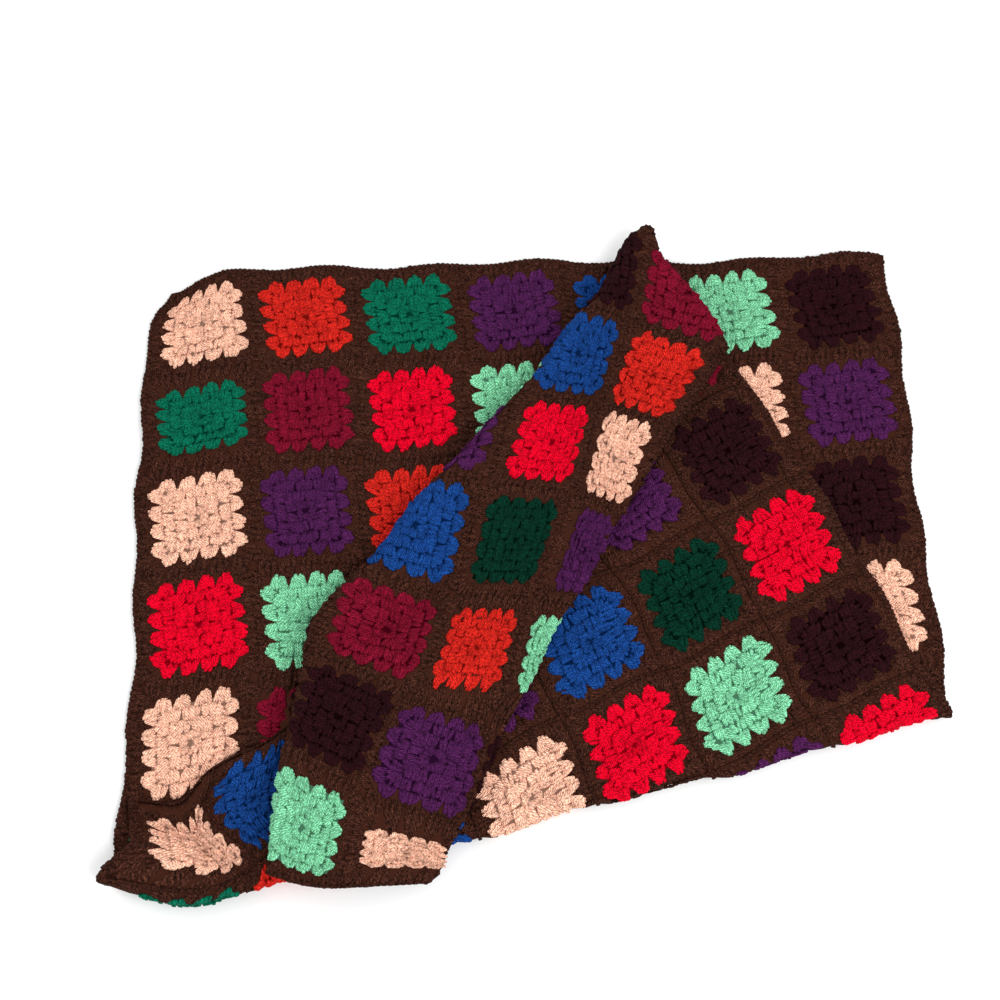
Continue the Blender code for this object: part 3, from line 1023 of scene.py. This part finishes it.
@dataclass(frozen=True)
class CoreShadeFinish:
    """The inside of the crochet, seen only between stitches: its yarn colour darkened as painted shade for
    the shadowed holes.
    """

    # Shares of the yarn colour that the painted shade leaves, in the coloured squares and in the brown.
    gain: float = 0.2
    brown_gain: float = 0.85
    grain_scale: float = 700.0
    grain_depth: float = 0.0006

    def material(self) -> bpy.types.Material:
        """A matt material that takes each place's yarn, darkened as painted shade, from a colour
        attribute.
        """
        made = bpy.data.materials.new("inner_wool")
        made.use_nodes = True
        nodes, links = made.node_tree.nodes, made.node_tree.links
        shader = nodes["Principled BSDF"]
        shader.inputs["Roughness"].default_value = 1.0
        shader.inputs["Specular IOR Level"].default_value = 0.0
        hue = nodes.new("ShaderNodeVertexColor")
        hue.layer_name = "hue"
        links.new(hue.outputs["Color"], shader.inputs["Base Color"])
        place = nodes.new("ShaderNodeTexCoord")
        grain = nodes.new("ShaderNodeTexNoise")
        grain.inputs["Scale"].default_value = self.grain_scale
        links.new(place.outputs["Object"], grain.inputs["Vector"])
        bump = nodes.new("ShaderNodeBump")
        bump.inputs["Distance"].default_value = self.grain_depth
        links.new(grain.outputs["Fac"], bump.inputs["Height"])
        links.new(bump.outputs["Normal"], shader.inputs["Normal"])
        return made


@dataclass
class CoreSheet:
    """The thin web at the middle of the cloth that the stitches stand on, coloured as painted shade for
    the holes between them.

    reach is half the width of a square's coloured part, and inset is how far the
    web stops short of the rim.
    """

    folds: Folds
    cells: int = 12
    thickness: float = 0.0008
    reach: float = 0.0423
    inset: float = 0.002
    notch_gap: float = 0.004
    finish: CoreShadeFinish = CoreShadeFinish()

    def build(self) -> bpy.types.Object:
        """A grid over the flat cloth, without the notch, carried through the folds.

        Returns:
            The linked object, with each face in its square's yarn darkened as painted shade.
        """
        across, along = COLUMNS * self.cells, ROWS * self.cells
        columns = np.linspace(-0.5, COLUMNS - 0.5, across + 1)
        rows = np.linspace(-0.5, ROWS - 0.5, along + 1)
        rim = (EDGING - self.inset) / PITCH
        columns[[0, -1]] += (-rim, rim)
        rows[[0, -1]] += (-rim, rim)
        x, y = np.meshgrid(*to_plane(columns, rows))
        flat = np.stack([x.ravel(), y.ravel(), np.zeros(x.size)], 1)
        points = self.folds.carry(flat)
        start = (np.arange(along)[:, None] * (across + 1) + np.arange(across)[None, :]).ravel()
        quads = np.stack([start, start + across + 1, start + across + 2, start + 1], 1)
        centre = flat[quads].mean(axis=1)
        quads = quads[~self.folds.in_notch(centre[:, 0], centre[:, 1], self.notch_gap)]
        used, quads = np.unique(quads, return_inverse=True)
        quads = quads.reshape(-1, 4)
        mesh = bpy.data.meshes.new("blanket_core")
        mesh.from_pydata(points[used].tolist(), [], quads.tolist())
        mesh.polygons.foreach_set("use_smooth", np.ones(len(quads), bool))
        self.paint(mesh, flat[used], quads)
        sheet = bpy.data.objects.new("blanket_core", mesh)
        bpy.context.scene.collection.objects.link(sheet)
        solid = sheet.modifiers.new("thickness", "SOLIDIFY")
        solid.thickness = self.thickness
        solid.offset = 0.0
        return sheet

    def paint(self, mesh: bpy.types.Mesh, flat: Array, quads: Array) -> None:
        """Writes each corner's yarn colour darkened as painted shade, by the square its face lies in."""
        centre = flat[quads].mean(axis=1)
        column, row = to_squares(centre[:, 0], centre[:, 1])
        near_c = np.clip(np.round(column), 0, COLUMNS - 1).astype(int)
        near_r = np.clip(np.round(row), 0, ROWS - 1).astype(int)
        sizes = np.ones((ROWS, COLUMNS, 2))
        for (at_c, at_r), size in DRAWN_IN.items():
            sizes[at_r, at_c] = size
        size = sizes[near_r, near_c]
        away = np.maximum(abs(column - near_c) / size[:, 0], abs(row - near_r) / size[:, 1])
        inside = away * PITCH < self.reach
        table = np.array(
            [[YarnFinish(yarn).colour(self.finish.gain) for yarn in line] for line in LAYOUT]
        )
        brown = np.array(YarnFinish(Yarn.BROWN).colour(self.finish.brown_gain))
        colours = np.where(inside[:, None], table[near_r, near_c], brown)
        layer = mesh.color_attributes.new("hue", "FLOAT_COLOR", "CORNER")
        layer.data.foreach_set("color", np.repeat(colours, 4, axis=0).astype(np.float32).ravel())


@dataclass(frozen=True)
class Studio:
    """A pale floor, soft light and the camera."""

    eye: Tuple[float, float, float] = (-0.05, -0.50, 1.79)
    elevation_deg: float = 70.0
    yaw: float = -0.033
    lens: float = 59.4
    floor_size: float = 12.0
    key_power: float = 31.0
    fill_power: float = 11.5
    sky: float = 0.98
    key_place: Tuple[float, float, float] = (0.9, -1.1, 2.0)
    key_size: float = 1.2
    fill_place: Tuple[float, float, float] = (-1.4, 1.2, 1.8)
    fill_size: float = 2.0
    floor_drop: float = 0.0022
    floor_tone: float = 0.92
    floor_roughness: float = 0.9
    sensor: float = 36.0
    sight: float = 50.0

    def floor(self) -> None:
        """A plain near-white floor just under the cloth."""
        bpy.ops.mesh.primitive_plane_add(size=self.floor_size, location=(0.0, 0.0, -self.floor_drop))
        plane = bpy.context.object
        plane.name = "floor"
        made = bpy.data.materials.new("pale_floor")
        made.use_nodes = True
        shader = made.node_tree.nodes["Principled BSDF"]
        shader.inputs["Base Color"].default_value = (*[self.floor_tone] * 3, 1.0)
        shader.inputs["Roughness"].default_value = self.floor_roughness
        plane.data.materials.append(made)

    def area(self, name: str, place: Sequence[float], size: float, power: float) -> None:
        """A square soft light that faces the blanket."""
        data = bpy.data.lights.new(name, "AREA")
        data.size = size
        data.energy = power
        lamp = bpy.data.objects.new(name, data)
        lamp.location = place
        way = -np.array(place, float)
        flat = float(np.hypot(way[0], way[1]))
        lamp.rotation_euler = (float(np.arctan2(flat, -way[2])), 0.0, float(np.arctan2(-way[0], way[1])))
        bpy.context.scene.collection.objects.link(lamp)

    def lights(self) -> None:
        """A key from the near right, a fill from the far left and an even sky."""
        self.area("key", self.key_place, self.key_size, self.key_power)
        self.area("fill", self.fill_place, self.fill_size, self.fill_power)
        world = bpy.data.worlds.new("sky")
        world.use_nodes = True
        background = world.node_tree.nodes["Background"]
        background.inputs["Color"].default_value = (1.0, 1.0, 1.0, 1.0)
        background.inputs["Strength"].default_value = self.sky
        bpy.context.scene.world = world
        bpy.context.scene.view_settings.view_transform = "Standard"

    def camera(self, shift: Tuple[float, float]) -> None:
        """The camera, above the near edge and looking steeply down."""
        data = bpy.data.cameras.new("camera")
        data.lens = self.lens
        data.sensor_width = self.sensor
        data.clip_end = self.sight
        eye = bpy.data.objects.new("camera", data)
        eye.location = (self.eye[0] + shift[0], self.eye[1] + shift[1], self.eye[2])
        eye.rotation_euler = (np.radians(90.0 - self.elevation_deg), 0.0, self.yaw)
        bpy.context.scene.collection.objects.link(eye)
        bpy.context.scene.camera = eye

    def build(self, shift: Tuple[float, float]) -> None:
        """Floor, lights and camera."""
        self.floor()
        self.lights()
        self.camera(shift)


def placed(piece: bpy.types.Object, finish: Union[YarnFinish, CoreShadeFinish]) -> bpy.types.Object:
    """Dresses a piece, lets it ride on the body and stand for the plain solid."""
    piece.data.materials.append(finish.material())
    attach(piece, "root")
    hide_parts("blanket")
    LOG.info("%s: %d faces", piece.name, len(piece.data.polygons))
    return piece


def build_blanket(folds: Folds) -> None:
    """Builds the core sheet and every set of stitches on it."""
    noise = np.random.default_rng(SEED)
    crochet = Crochet(folds, noise)
    web = CoreSheet(folds)
    core = placed(web.build(), web.finish)
    brown = YarnFinish(Yarn.BROWN, mottle=BROWN_MOTTLE)
    for name, stitches in sorted(crochet.squares().items()):
        yarn = Yarn[name.split("_")[1].upper()]
        finish = brown if yarn is Yarn.BROWN else YarnFinish(yarn)
        placed(stitches.mesh(name, folds, noise), finish)
    placed(crochet.seam().mesh("yarn_seam", folds, noise), brown)
    placed(crochet.edging().mesh("yarn_edging", folds, noise), brown)


def main() -> None:
    """Loads the frame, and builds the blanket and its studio."""
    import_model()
    folds = fitted_folds()
    build_blanket(folds)
    Studio().build(folds.shift)


if __name__ == "__main__":
    main()
